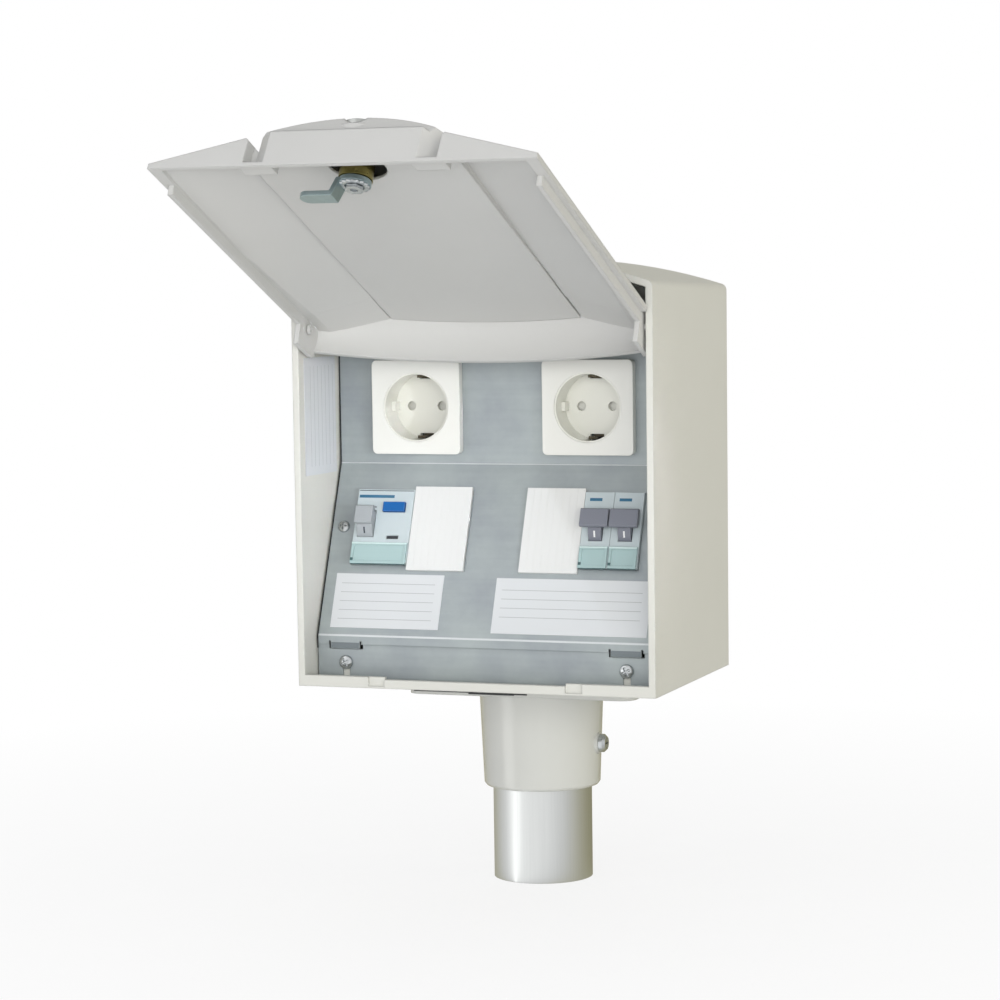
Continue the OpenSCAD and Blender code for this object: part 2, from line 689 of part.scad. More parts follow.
module mounting_plate() {
  tab = [9.1, plate_t*2, slot_z - 1.8];
  color("#aab0b3") at_box() difference() {
    union() {
      translate([-plate_hw, 0, 0]) rotate([90, 0, 90]) linear_extrude(height = 2*plate_hw)
        polygon([[panel_y, plate_top], [panel_y, fold_z], [lower_y, lower_z], [lower_y, slot_z + 0.6],
          [rail_y, slot_z + 0.6], [rail_y, lower_z - miter], [panel_y + plate_t, fold_z - miter],
          [panel_y + plate_t, plate_top]]);
      for (s = [-1, 1]) span([s*screw_x - tab[0], lower_y, tab[2]], [s*screw_x + tab[0], rail_y, slot_z + 0.7]);
    }
    for (s = [-1, 1]) {
      for (e = [-1, 1]) span([s*screw_x + e*9.7 - 0.6, lower_y - 1, slot_z - 3], [s*screw_x + e*9.7 + 0.6, rail_y + 0.5, slot_z + 2.6]);
      translate([s*socket_x, panel_y - 1, socket_z]) rotate([-90, 0, 0]) cylinder(r = well_r + insert_t + 1.2, h = 6);
      in_slope() span([min(s*win_x, s*(win_x + win_w)) - 0.2, -window_t - window_h/2, -4],
        [max(s*win_x, s*(win_x + win_w)) + 0.2, -window_t + window_h/2, 4]);
      in_slope() translate([s*side_x, -window_t, -4]) cylinder(r = 2.2, h = 8);
    }
  }
}

module rail_screw(s) {
  color("#c4c7c8") at_box() translate([s*screw_x, rail_y, screw_z]) rotate([90, 0, 0]) pan_screw(4.2, 2.8, 2, 15);
}
module side_screw(s) {
  color("#c4c7c8") at_slope() translate([s*side_x, -window_t, 0]) pan_screw(3.6, 2.5, 2, 12);
}
module plate_screw_1() { rail_screw(-1); }
module plate_screw_2() { rail_screw(1); }
module plate_screw_3() { side_screw(-1); }
module plate_screw_4() { side_screw(1); }

// Earthed socket outlets, drawn looking along +y from the cover's front
module at_socket(s) { at_box() translate([s*socket_x, 0, socket_z]) rotate([-90, 0, 0]) children(); }

module socket_cover(s) {
  a = cover_a/2;
  r = 3;
  color("#efefe9") at_socket(s) difference() {
    union() {
      span([-a + r, -a, cover_y], [a - r, a, panel_y]);
      span([-a, -a + r, cover_y], [a, a - r, panel_y]);
      for (i = [-1, 1]) for (j = [-1, 1]) translate([i*(a - r), j*(a - r), cover_y]) cylinder(r = r, h = cover_t);
    }
    translate([0, 0, cover_y - 1]) cylinder(r = well_r + insert_t, h = cover_t + 2);
  }
}

// Well cup with pin holes, side keys and slots for the earth arms
module socket_insert(s) {
  arm = well_r - 1.2;
  color("#e6e6da") at_socket(s) difference() {
    union() {
      translate([0, 0, well_y]) cylinder(r = well_r + insert_t, h = insert_back - well_y);
      translate([0, 0, panel_y + plate_t]) cylinder(r = well_r + insert_t + 2.5, h = insert_back - panel_y - plate_t);
    }
    difference() {
      translate([0, 0, well_y - 1]) cylinder(r = well_r, h = well_d + 1);
      for (e = [-1, 1]) span([e*(well_r - 0.5) - 1.8, -2.6, well_y + 10], [e*(well_r - 0.5) + 1.8, 2.6, insert_back]);
    }
    for (e = [-1, 1]) {
      translate([e*pin_pitch/2, 0, well_y]) cylinder(r = pin_r, h = 40);
      span([-clip_w, min(e*(arm - 2), e*(well_r + 0.3)), well_y + 4], [clip_w, max(e*(arm - 2), e*(well_r + 0.3)), insert_back + 1]);
    }
    translate([0, 0, insert_back - insert_floor + 0.8]) cylinder(r = 1.6, h = 40);
  }
}
clip_w = 4.2;

// Mechanism block behind the panel, with a bore for each pin
module socket_base(s) {
  color("#3a3d40") at_socket(s) difference() {
    span([-22, -22, insert_back], [22, 22, insert_back + base_d]);
    for (e = [-1, 1]) translate([e*pin_pitch/2, 0, insert_back - 1]) cylinder(r = pin_r, h = 20);
    span([-3.2, -20.5, insert_back - 1], [3.2, 20.5, insert_back + 1.2]);
    span([-14, -4, insert_back - 1], [14, 4, insert_back + 2.6]);
    translate([0, 0, insert_back - 1]) cylinder(r = 1.6, h = base_d + 2);
  }
}

// Shutter that closes the pin holes from behind
module socket_shutter(s) {
  color("#e6e6da") at_socket(s) difference() {
    span([-13.6, -3.7, insert_back + 1.4], [13.6, 3.7, insert_back + 2.6]);
    translate([0, 0, insert_back]) cylinder(r = 1.9, h = 4);
  }
}
module socket_left_shutter() { socket_shutter(-1); }
module socket_right_shutter() { socket_shutter(1); }

module socket_earth(s) {
  arm = well_r - 1.2;
  color("#c0b070") at_socket(s) difference() {
    union() {
      span([-3, -20, insert_back], [3, 20, insert_back + 1.2]);
      for (e = [-1, 1]) {
        span([-2.2, e*arm - 0.5, insert_back - 11.5], [2.2, e*arm + 0.5, insert_back + 0.6]);
        span([-2.2, min(e*(arm - 1.2), e*(arm + 0.5)), insert_back - 12.5], [2.2, max(e*(arm - 1.2), e*(arm + 0.5)), insert_back - 11.4]);
      }
    }
    translate([0, 0, insert_back - 1]) cylinder(r = 1.6, h = 4);
  }
}

module socket_screw(s) {
  color("#c4c7c8") at_socket(s) translate([0, 0, insert_back + base_d]) pan_screw(2.9, 1.8, 1.6, base_d + insert_floor - 1);
}
module socket_left_cover() { socket_cover(-1); }
module socket_left_insert() { socket_insert(-1); }
module socket_left_base() { socket_base(-1); }
module socket_left_earth() { socket_earth(-1); }
module socket_left_screw() { socket_screw(-1); }
module socket_right_cover() { socket_cover(1); }
module socket_right_insert() { socket_insert(1); }
module socket_right_base() { socket_base(1); }
module socket_right_earth() { socket_earth(1); }
module socket_right_screw() { socket_screw(1); }

// Top-hat rail along the back of the devices, and its screws into the wall ledges
module din_rail() {
  half = in_hw - 1;
  v = -window_t;
  color("#b4babd") at_slope() difference() {
    union() {
      for (e = [-1, 1]) {
        span([-half, min(v + e*12.5, v + e*17.5), rail_w - 1], [half, max(v + e*12.5, v + e*17.5), rail_w]);
        span([-half, min(v + e*12.5, v + e*13.5), body_lo], [half, max(v + e*12.5, v + e*13.5), rail_w]);
      }
      span([-half, v - 13.5, body_lo], [half, v + 13.5, body_lo + 1]);
    }
    for (s = [-1, 1]) translate([s*(in_hw - 5), v, body_lo - 1]) cylinder(r = 2, h = 4);
  }
}
module hat_screw(s) {
  color("#c4c7c8") at_slope() translate([s*(in_hw - 5), -window_t, body_lo + 1]) pan_screw(3.4, 2.2, 1.8, 7);
}
module rail_screw_left() { hat_screw(-1); }
module rail_screw_right() { hat_screw(1); }

// Modular device: nose through the window, body behind the plate, recess for the rail
module device_body(x0, w, lever_x, lever_w) {
  v = -window_t;
  difference() {
    union() {
      span([x0, v - 22.6, body_lo + 5], [x0 + w, v + 22.6, nose_w]);
      span([x0, v - 42, body_lo], [x0 + w, v + 42, -22]);
    }
    span([x0 - 1, v - 17.6, body_lo - 1], [x0 + w + 1, v + 17.6, rail_w]);
    translate([lever_x - lever_w/2 - 0.4, hub_v, hub_w]) rotate([0, 90, 0]) cylinder(r = hub_r + 0.4, h = lever_w + 0.8);
    translate([lever_x - lever_w/2 - 2, hub_v, hub_w]) rotate([0, 90, 0]) cylinder(r = 1.5 + hub_fit, h = lever_w + 4);
  }
}

// Rocker: a drum on two trunnions with a neck and a grip whose face is parallel to the plate at rest
module device_toggle(lever_x, lever_w, grip_w) {
  translate([lever_x, hub_v, hub_w]) {
    rotate([0, 90, 0]) {
      translate([0, 0, -lever_w/2]) cylinder(r = hub_r, h = lever_w);
      translate([0, 0, -lever_w/2 - 1.6]) cylinder(r = 1.5, h = lever_w + 3.2);
    }
    across(lever_w) polygon([[-1.6, 5], [-1.6, 11.8], [7, 11.8], [7, 5]]);
    across(grip_w) polygon([[-1.6, 10.4], [-1.6, 11.8], [-0.9, 12.6], [8.6, 12.6], [9.3, 11.8], [9.3, 9.2], [1.2, 9.2]]);
  }
}

// Outline in the slope frame's y and z, run across x by w about the middle
module across(w) { translate([-w/2, 0, 0]) rotate([90, 0, 90]) linear_extrude(height = w) children(); }

module device_cover(x0, w) {
  v = -window_t;
  difference() {
    span([x0 + 0.4, v - 23.2, nose_w], [x0 + w - 0.4, v - 10.2, nose_w + 1.4]);
    span([x0 + 2, v - 21.4, nose_w + 0.9], [x0 + w - 2, v - 12, nose_w + 2]);
  }
}

mcb_w = module_w - 0.2;
rcd_w = 2*module_w - 0.2;
rcd_x = -dev_x - rcd_w - 0.1;
rcd_lever = rcd_x + 7.6;
test_x = rcd_x + 17;
test_w = [13.6, 5.8, 5.4];
test_v = -window_t + 8.9;

module rcd_body() {
  color("#c9d0d5") at_slope() difference() {
    device_body(rcd_x, rcd_w, rcd_lever, 9.6);
    span([test_x - test_gap, test_v - test_gap, nose_w + 1.5 - test_w[2] - test_travel - 0.5],
      [test_x + test_w[0] + test_gap, test_v + test_w[1] + test_gap, nose_w + 1]);
    span([test_x + 4, -window_t - 7.8, nose_w - 1.5], [test_x + 11.5, -window_t - 5.6, nose_w + 1]);
  }
}
module rcd_toggle() { color("#8a9296") at_slope() device_toggle(rcd_lever, 9.6, 10.8); }
module rcd_test() {
  color("#1f62b0") at_slope() span([test_x, test_v, nose_w + 1.5 - test_w[2]],
    [test_x + test_w[0], test_v + test_w[1], nose_w + 1.5]);
}
module rcd_cover() { color("#a8c4c6") at_slope() device_cover(rcd_x, rcd_w); }

function mcb_x(i) = dev_x + 0.1 + i*module_w;
module mcb_body(i) { color("#c9d0d5") at_slope() device_body(mcb_x(i), mcb_w, mcb_x(i) + mcb_w/2, 7.6); }
module mcb_toggle(i) { color("#7c808a") at_slope() device_toggle(mcb_x(i) + mcb_w/2, 7.6, mcb_w - 0.8); }
module mcb_cover(i) { color("#a8c4c6") at_slope() device_cover(mcb_x(i), mcb_w); }
module mcb_1_body() { mcb_body(0); }
module mcb_1_toggle() { mcb_toggle(0); }
module mcb_1_cover() { mcb_cover(0); }
module mcb_2_body() { mcb_body(1); }
module mcb_2_toggle() { mcb_toggle(1); }
module mcb_2_cover() { mcb_cover(1); }

// Blanking strips: a ribbed face over the window edge and a tongue through it
module blank(s) {
  w = 2*module_w - 0.2;
  x0 = s > 0 ? win_x : -win_x - w;
  v = -window_t;
  pitch = module_w/4;
  color("#f2f2f1") at_slope() difference() {
    union() {
      span([x0, v - window_h/2 - 3.2, 0], [x0 + w, v + window_h/2 + 1.8, 2.2]);
      span([x0 + 0.3, v - window_h/2 + 0.4, -7], [x0 + w - 0.3, v + window_h/2 - 0.4, 0.5]);
    }
    for (i = [1:7]) span([x0 + i*pitch - 0.25, v - window_h/2 - 4, 2.08], [x0 + i*pitch + 0.25, v + window_h/2 + 3, 3]);
    span([x0 + 2, v - window_h/2 + 2.4, -8], [x0 + w - 2, v + window_h/2 - 2.4, -0.4]);
  }
}
module blank_left() { blank(-1); }
module blank_right() { blank(1); }

// Supply terminals and earth bar, on posts from the back wall and just behind the top-hat rail
block_y = gear_y + 1;
bar_y = gear_y + 4;

module terminal_block() {
  pitch = block[0]/5;
  color("#e8e8e4") at_box() difference() {
    span([-block[0]/2, block_y, block_z], [block[0]/2, block_y + block[1], block_z + block[2]]);
    for (i = [-2:2]) {
      translate([i*pitch, block_y - 1, block_z + block[2]/2]) rotate([-90, 0, 0]) cylinder(r = pitch/5, h = block[1]/2);
      translate([i*pitch, block_y + block[1]/3, block_z - 1]) cylinder(r = pitch/4, h = block[2] + 2);
    }
  }
}

module earth_bar() {
  pitch = bar[0]/4.2;
  color("#c0b070") at_box() difference() {
    span([bar_x, bar_y, bar_z], [bar_x + bar[0], bar_y + bar[1], bar_z + bar[2]]);
    for (i = [0:3]) translate([bar_x + (i + 0.6)*pitch, bar_y + bar[1]/2, bar_z]) {
      translate([0, 0, -1]) cylinder(r = bar[1]*0.27, h = bar[2] + 2);
      translate([0, -bar[1]/2 - 1, bar[2]/2]) rotate([-90, 0, 0]) cylinder(r = bar[1]*0.2, h = 5);
    }
  }
}

// Blank stickers
module label_left() {
  color("#f0f0ee") at_slope() span([-plate_hw + 7.5, -slope_len + 5.4, 0], [-win_x - 11.5, -window_t - window_h/2 - 5.6, 0.3]);
}
module label_right() {
  color("#f0f0ee") at_slope() span([4, -slope_len + 4.4, 0], [plate_hw - 6, -window_t - window_h/2 - 6.4, 0.3]);
}
module label_wall() {
  color("#e4e5e8") at_box() span([-in_hw, 7, fold_z - 5], [-in_hw + 0.3, panel_y - 5, hinge_z - 16.5]);
}

post_tube();
post_collar();
collar_screw_side();
collar_screw_back();
base_gasket();
flange_screw_1();
flange_screw_2();
flange_screw_3();
flange_screw_4();
housing();
cable_grommet();
hinge_pin_left();
hinge_pin_right();
lid();
lid_liner();
lock_barrel();
lock_nut();
lock_plug();
lock_cam();
cam_screw();
bottom_rail();
mounting_plate();
plate_screw_1();
plate_screw_2();
plate_screw_3();
plate_screw_4();
socket_left_cover();
socket_left_insert();
socket_left_base();
socket_left_earth();
socket_left_screw();
socket_left_shutter();
socket_right_cover();
socket_right_insert();
socket_right_base();
socket_right_earth();
socket_right_screw();
socket_right_shutter();
din_rail();
rail_screw_left();
rail_screw_right();
rcd_body();
rcd_toggle();
rcd_test();
rcd_cover();
mcb_1_body();
mcb_1_toggle();
mcb_1_cover();
mcb_2_body();
mcb_2_toggle();
mcb_2_cover();
blank_left();
blank_right();
terminal_block();
earth_bar();
label_left();
label_right();
label_wall();
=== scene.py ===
# %% [markdown]
# A garden socket post: a weather box on a tube, with its lid held open over two sockets and a row
# of switchgear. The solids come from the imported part. This lesson gives them their finishes, then
# adds the small things that a moulder, a printer or a screw maker would add.

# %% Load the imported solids
import json
import math
import bmesh
import bpy
from mathutils import Matrix, Vector


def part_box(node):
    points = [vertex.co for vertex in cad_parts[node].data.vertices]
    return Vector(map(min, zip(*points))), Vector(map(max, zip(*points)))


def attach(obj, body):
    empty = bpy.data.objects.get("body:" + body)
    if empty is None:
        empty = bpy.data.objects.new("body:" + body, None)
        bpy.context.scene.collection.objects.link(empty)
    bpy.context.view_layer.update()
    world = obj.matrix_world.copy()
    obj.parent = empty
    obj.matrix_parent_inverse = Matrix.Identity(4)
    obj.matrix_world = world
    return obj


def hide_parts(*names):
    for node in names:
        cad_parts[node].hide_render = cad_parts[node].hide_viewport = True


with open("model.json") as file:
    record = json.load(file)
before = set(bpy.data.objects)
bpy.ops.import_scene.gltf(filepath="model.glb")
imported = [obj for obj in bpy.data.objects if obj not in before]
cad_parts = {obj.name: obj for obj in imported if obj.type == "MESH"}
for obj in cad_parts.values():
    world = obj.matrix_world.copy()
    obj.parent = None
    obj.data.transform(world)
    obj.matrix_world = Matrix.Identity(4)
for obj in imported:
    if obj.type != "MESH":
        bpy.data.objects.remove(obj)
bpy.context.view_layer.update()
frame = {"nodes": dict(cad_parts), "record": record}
nodes = frame["nodes"]
scene = bpy.context.scene
MM = .001

# %% [markdown]
# The camera stands to the right of the box and a little above its middle. A long lens keeps the
# sides nearly parallel, as in a catalogue picture. Its place could be found by eye, but here it was
# fitted on the corners of the sockets, the roof and the tube, so the numbers are plain measurements
# in metres and degrees.

# %% Camera
CAMERA_AT = Vector((.59596, -1.6973, .36495))
CAMERA_TURN, CAMERA_DIP, CAMERA_ROLL = 20.16, 6.14, -.81
LENS_PIXELS, IMAGE_PIXELS, SENSOR = 2990.75, 1000, 36
SHIFT_X, SHIFT_Y = .0019, .0955

eye = bpy.data.cameras.new("studio_camera")
eye.sensor_width = SENSOR
eye.lens = LENS_PIXELS*SENSOR/IMAGE_PIXELS
eye.shift_x = SHIFT_X
eye.shift_y = SHIFT_Y
eye.clip_start, eye.clip_end = .05, 50
camera = bpy.data.objects.new("studio_camera", eye)
scene.collection.objects.link(camera)
scene.camera = camera
turn = Matrix.Rotation(math.radians(CAMERA_TURN), 4, "Z")
dip = Matrix.Rotation(math.radians(90 - CAMERA_DIP), 4, "X")
roll = Matrix.Rotation(math.radians(CAMERA_ROLL), 4, "Z")
camera.matrix_world = Matrix.Translation(CAMERA_AT) @ turn @ dip @ roll
print("lens", round(eye.lens, 1), "mm")

# %% [markdown]
# Shaders are built from nodes. One helper adds a node, sets its values and joins its inputs, so a
# finish reads as a list. Colours are written as screen hex codes and turned to linear light, which
# is what a shader multiplies. Pattern sizes are written in millimetres: a noise of scale s repeats
# about every 1/s metres.

# %% Shader helpers
def linear(code):
    parts = [int(code[i:i + 2], 16)/255 for i in (0, 2, 4)]
    return [p/12.92 if p <= .04045 else ((p + .055)/1.055)**2.4 for p in parts] + [1]


def add(tree, kind, props=None, values=None, links=None):
    node = tree.nodes.new(kind)
    for name, value in (props or {}).items():
        setattr(node, name, value)
    for socket, value in (values or {}).items():
        node.inputs[socket].default_value = value
    for socket, source in (links or {}).items():
        tree.links.new(source, node.inputs[socket])
    return node


def per_mm(size):
    return 1000/size


print("mid grey in linear light:", round(linear("808080")[0], 3))

# %% [markdown]
# Bright metal shows what stands around it. Here it is a room that is bright in front, darker and a
# little warm behind, with a bright strip on the left that draws a streak down the collar and the
# tube. White boards could be set up for this, but they would also light the box. A few nodes that
# read the direction of a reflection give the same picture and no extra light.

# %% The room that metal mirrors
FRONT, STRIP = (-.1, -.99, .1), (-.75, -.66, 0)


def around(tree, direction):
    facing = add(tree, "ShaderNodeVectorMath", {"operation": "DOT_PRODUCT"}, {1: FRONT}, {0: direction})
    card = add(tree, "ShaderNodeMapRange",
        values={"From Min": -1, "From Max": .95, "To Min": .32, "To Max": 1.12},
        links={"Value": facing.outputs["Value"]})
    warmth = add(tree, "ShaderNodeMapRange", values={"From Min": -.9, "From Max": .1},
        links={"Value": facing.outputs["Value"]})
    walls = add(tree, "ShaderNodeMix", {"data_type": "RGBA"},
        {"A": linear("fff8cc"), "B": linear("ffffff")}, {"Factor": warmth.outputs[0]})
    side = add(tree, "ShaderNodeVectorMath", {"operation": "DOT_PRODUCT"}, {1: STRIP}, {0: direction})
    strip = add(tree, "ShaderNodeMapRange", {"interpolation_type": "SMOOTHSTEP"},
        {"From Min": .96, "From Max": .998, "To Min": 0, "To Max": .95},
        {"Value": side.outputs["Value"]})
    level = add(tree, "ShaderNodeMath", {"operation": "ADD"},
        links={0: card.outputs[0], 1: strip.outputs[0]})
    return walls.outputs["Result"], level.outputs[0]


print("strip", round(math.degrees(math.atan2(-STRIP[0], -STRIP[1]))), "degrees left of the front")

# %% [markdown]
# A picture cut out on white needs a background that is white to the camera and yet doesn't flood
# the box with light. So the camera and clear plastic see plain white, reflections see the room, and
# the soft light that falls on surfaces is half as strong.

# %% White sweep
world = bpy.data.worlds.new("white_sweep")
scene.world = world
world.use_nodes = True
sky = world.node_tree
sky.nodes.clear()
path = add(sky, "ShaderNodeLightPath")
seen = add(sky, "ShaderNodeMath", {"operation": "MAXIMUM"},
    links={0: path.outputs["Is Camera Ray"], 1: path.outputs["Is Transmission Ray"]})
way = add(sky, "ShaderNodeTexCoord")
walls, level = around(sky, way.outputs["Generated"])
soft = add(sky, "ShaderNodeBackground", values={"Color": linear("fafbff"), "Strength": .5})
room = add(sky, "ShaderNodeBackground", links={"Color": walls, "Strength": level})
white = add(sky, "ShaderNodeBackground", values={"Color": linear("ffffff"), "Strength": 1})
lit = add(sky, "ShaderNodeMixShader",
    links={0: path.outputs["Is Glossy Ray"], 1: soft.outputs[0], 2: room.outputs[0]})
both = add(sky, "ShaderNodeMixShader",
    links={0: seen.outputs[0], 1: lit.outputs[0], 2: white.outputs[0]})
add(sky, "ShaderNodeOutputWorld", links={"Surface": both.outputs[0]})
print("world:", world.name)

# %% [markdown]
# The floor is a wide disc of matt white paint. It keeps the shadow near the tube and fades into the
# white farther out, by mixing in a plain white glow that grows with distance and that only the
# camera sees, straight or through clear plastic. Reflections see the room here too, because the
# camera looks slightly down and so most of what the tube mirrors is floor.

# %% Floor disc
FLOOR_R = 4
floor_mesh = bmesh.new()
bmesh.ops.create_circle(floor_mesh, cap_ends=True, segments=96, radius=FLOOR_R)
floor_data = bpy.data.meshes.new("studio_floor")
floor_mesh.to_mesh(floor_data)
floor_mesh.free()
floor = bpy.data.objects.new("studio_floor", floor_data)
scene.collection.objects.link(floor)
print("floor radius", FLOOR_R, "m")

# %% Floor paint
# the spot on the tube that mirrors the strip: counted from there, the streak runs straight down
STREAK_AT = (-.008, -.029, 0)
paint = bpy.data.materials.new("white_floor_paint")
paint.use_nodes = True
tree = paint.node_tree
tree.nodes.clear()
path = add(tree, "ShaderNodeLightPath")
seen = add(tree, "ShaderNodeMath", {"operation": "MAXIMUM"},
    links={0: path.outputs["Is Camera Ray"], 1: path.outputs["Is Transmission Ray"]})
place = add(tree, "ShaderNodeTexCoord")
reach = add(tree, "ShaderNodeVectorMath", {"operation": "LENGTH"}, links={0: place.outputs["Object"]})
fade = add(tree, "ShaderNodeMapRange",
    values={"From Min": .1, "From Max": .75, "To Min": .8, "To Max": 1},
    links={"Value": reach.outputs["Value"]})
share = add(tree, "ShaderNodeMath", {"operation": "MULTIPLY"},
    links={0: fade.outputs[0], 1: seen.outputs[0]})
speckle = add(tree, "ShaderNodeTexNoise", values={"Scale": per_mm(40), "Detail": 3},
    links={"Vector": place.outputs["Object"]})
tone = add(tree, "ShaderNodeMix", {"data_type": "RGBA"},
    {"A": linear("f2f2f1"), "B": linear("fafafa")}, {"Factor": speckle.outputs["Fac"]})
matt = add(tree, "ShaderNodeBsdfDiffuse", links={"Color": tone.outputs["Result"]})
glow = add(tree, "ShaderNodeEmission", values={"Color": linear("ffffff"), "Strength": 1})
spot = add(tree, "ShaderNodeVectorMath", {"operation": "SUBTRACT"}, {1: STREAK_AT},
    {0: place.outputs["Object"]})
outward = add(tree, "ShaderNodeVectorMath", {"operation": "NORMALIZE"},
    links={0: spot.outputs["Vector"]})
walls, level = around(tree, outward.outputs["Vector"])
mirrored = add(tree, "ShaderNodeEmission", links={"Color": walls, "Strength": level})
kept = add(tree, "ShaderNodeMixShader",
    links={0: share.outputs[0], 1: matt.outputs[0], 2: glow.outputs[0]})
floor_mix = add(tree, "ShaderNodeMixShader",
    links={0: path.outputs["Is Glossy Ray"], 1: kept.outputs[0], 2: mirrored.outputs[0]})
add(tree, "ShaderNodeOutputMaterial", links={"Surface": floor_mix.outputs[0]})
floor_data.materials.append(paint)
print("floor paint:", paint.name)

# %% [markdown]
# Lamps stand in for softboxes. The strongest is in front, near the camera and hardly higher, because
# light reaches under the lid and far into the box. One to the right of it, and a small one behind a
# grid that narrows its beam, light the left wall from inside. One high on the left lights the roof.
# One is warm and stands a little behind on the right, so only the right wall and the right edge of
# the post get it. The last stands high behind, for the roof, the back and the lid's outside.

# %% Softboxes
def softbox(name, at, aim, size, watts, tint="ffffff", mirrored=False, beam=180):
    lamp = bpy.data.lights.new(name, "AREA")
    lamp.size = size
    lamp.spread = math.radians(beam)
    lamp.energy = watts
    lamp.color = linear(tint)[:3]
    holder = bpy.data.objects.new(name, lamp)
    holder.location = at
    holder.rotation_euler = (Vector(aim) - Vector(at)).to_track_quat("-Z", "Y").to_euler()
    holder.visible_glossy = mirrored
    holder.visible_camera = False
    scene.collection.objects.link(holder)
    return holder


softbox("softbox_front", (.45, -2.5, .4), (0, -.1, .28), 1.5, 25.5)
softbox("softbox_side", (1.5, -1.9, .45), (0, -.1, .25), 1.2, 13.5, "fffdf2")
softbox("softbox_grid", (1.2, -.9, .26), (-.09, -.08, .24), .14, .031, "f2f6ff", beam=7)
softbox("softbox_left", (-1.5, -1.5, 1.7), (0, -.1, .3), 1.4, 4, mirrored=True)
softbox("softbox_right", (2.2, .35, .8), (0, 0, .3), 1.4, 7, "fff6d2")
softbox("softbox_back", (-.5, 1.7, 1.8), (0, 0, .3), 1.6, 8)
scene.view_settings.view_transform = "Standard"

# %% [markdown]
# Most of the object is moulded plastic: ABS for the box and lid, urea for the sockets, polyamide for
# the switchgear. Moulded plastic has a near-even colour, a faint grain from the tool's spark-eroded
# surface, and edges a little rounder than the faces. One recipe covers them, with colour, grain and
# gloss as measures. The grain is drawn coarser than the real one, which is finer than a pixel. The
# edge comes from a bevelled normal, so the solids keep their exact shape, and white is mixed into the
# colour where that normal bends, as a painted highlight along the edges.

# %% Recipe for moulded plastics
CLOUD_MM = 70


def moulded(name, face, shade, rough, grain_mm, depth_mm, edge_mm, ior=1.5, edge_highlight_share=.12, spread=.04):
    material = bpy.data.materials.new(name)
    material.use_nodes = True
    tree = material.node_tree
    shader = tree.nodes["Principled BSDF"]
    place = add(tree, "ShaderNodeTexCoord")
    cloud = add(tree, "ShaderNodeTexNoise", values={"Scale": per_mm(CLOUD_MM), "Detail": 2},
        links={"Vector": place.outputs["Object"]})
    grain = add(tree, "ShaderNodeTexNoise",
        values={"Scale": per_mm(grain_mm), "Detail": 2, "Roughness": .6},
        links={"Vector": place.outputs["Object"]})
    tint = add(tree, "ShaderNodeMix", {"data_type": "RGBA"},
        {"A": linear(face), "B": linear(shade)}, {"Factor": cloud.outputs["Fac"]})
    rounded = add(tree, "ShaderNodeBevel", {"samples": 4}, {"Radius": edge_mm*MM})
    true = add(tree, "ShaderNodeNewGeometry")
    bend = add(tree, "ShaderNodeVectorMath", {"operation": "DOT_PRODUCT"},
        links={0: rounded.outputs[0], 1: true.outputs["Normal"]})
    # painted highlight: where the bevelled normal turns away from the true one, the colour is mixed
    # towards white
    rim = add(tree, "ShaderNodeMapRange",
        values={"From Min": 1, "From Max": .8, "To Min": 0, "To Max": edge_highlight_share},
        links={"Value": bend.outputs["Value"]})
    colour = add(tree, "ShaderNodeMix", {"data_type": "RGBA"}, {"B": linear("ffffff")},
        {"Factor": rim.outputs[0], "A": tint.outputs["Result"]})
    gloss = add(tree, "ShaderNodeMapRange", values={"To Min": rough - spread, "To Max": rough + spread},
        links={"Value": grain.outputs["Fac"]})
    bump = add(tree, "ShaderNodeBump", values={"Strength": .5, "Distance": depth_mm*MM},
        links={"Height": grain.outputs["Fac"], "Normal": rounded.outputs[0]})
    tree.links.new(colour.outputs["Result"], shader.inputs["Base Color"])
    tree.links.new(gloss.outputs[0], shader.inputs["Roughness"])
    tree.links.new(bump.outputs[0], shader.inputs["Normal"])
    shader.inputs["IOR"].default_value = ior
    return material


print("clouds in the plastic:", CLOUD_MM, "mm")

# %% Moulded plastics
finish = {}
# ABS with a fine satin grain: soft broad highlights, warm grey
finish["shell"] = moulded("moulded_abs_warm_grey", "dadad4", "d4d4cd", .46, .9, .05, 1.2)
# the lid's ABS is cooler, and its grey is set darker than the box's as painted shade, because it lies
# mostly in shade
finish["lid"] = moulded("moulded_abs_cool_grey_painted_shade", "cececc", "c7c7c5", .42, .9, .05, 1.2)
# urea moulding compound: hard, white and glossy, with almost no grain
finish["cover"] = moulded("pressed_urea_white", "ebebe7", "e7e7e1", .24, 1.5, .006, .9, 1.55,
    spread=.01)
finish["insert"] = moulded("pressed_urea_ivory", "eaeae3", "e6e6de", .28, 2, .001, .3, 1.55,
    edge_highlight_share=.04, spread=.005)
# glass-filled polyamide: dull and slightly mottled
finish["dark"] = moulded("moulded_polyamide_dark", "3a3d40", "303336", .6, .6, .06, .4)
finish["device"] = moulded("moulded_polyamide_pale", "c6d1d4", "bfcace", .4, .7, .03, .5)
finish["toggle"] = moulded("moulded_polyamide_grey", "80838e", "777a85", .4, .7, .04, .6)
# the first rocker is a paler grey than the breakers' pair
rocker_pale = moulded("moulded_polyamide_light_grey", "a9aeb2", "a0a5a9", .4, .7, .04, .6)
finish["button"] = moulded("moulded_polyamide_blue", "0062ac", "00569c", .5, .7, .03, .8)
# white ABS strips that fill the unused part of each window
finish["blank"] = moulded("moulded_abs_white", "e5e6e5", "e0e1e0", .34, .9, .02, .03)
print("moulded finishes:", sorted(finish))

# %% [markdown]
# Metals are told apart by what their surface does to a reflection. Rolled zinc-coated sheet has faint
# streaks along the rolling direction and a dull grey. Bright zinc on screws is a thin smooth skin.
# Drawn aluminium has fine lines along the draw. Each pattern is a noise texture, stretched where the
# making stretched it, that shifts tone and roughness.

# %% Recipe for metals
FINE_MM = 1.6


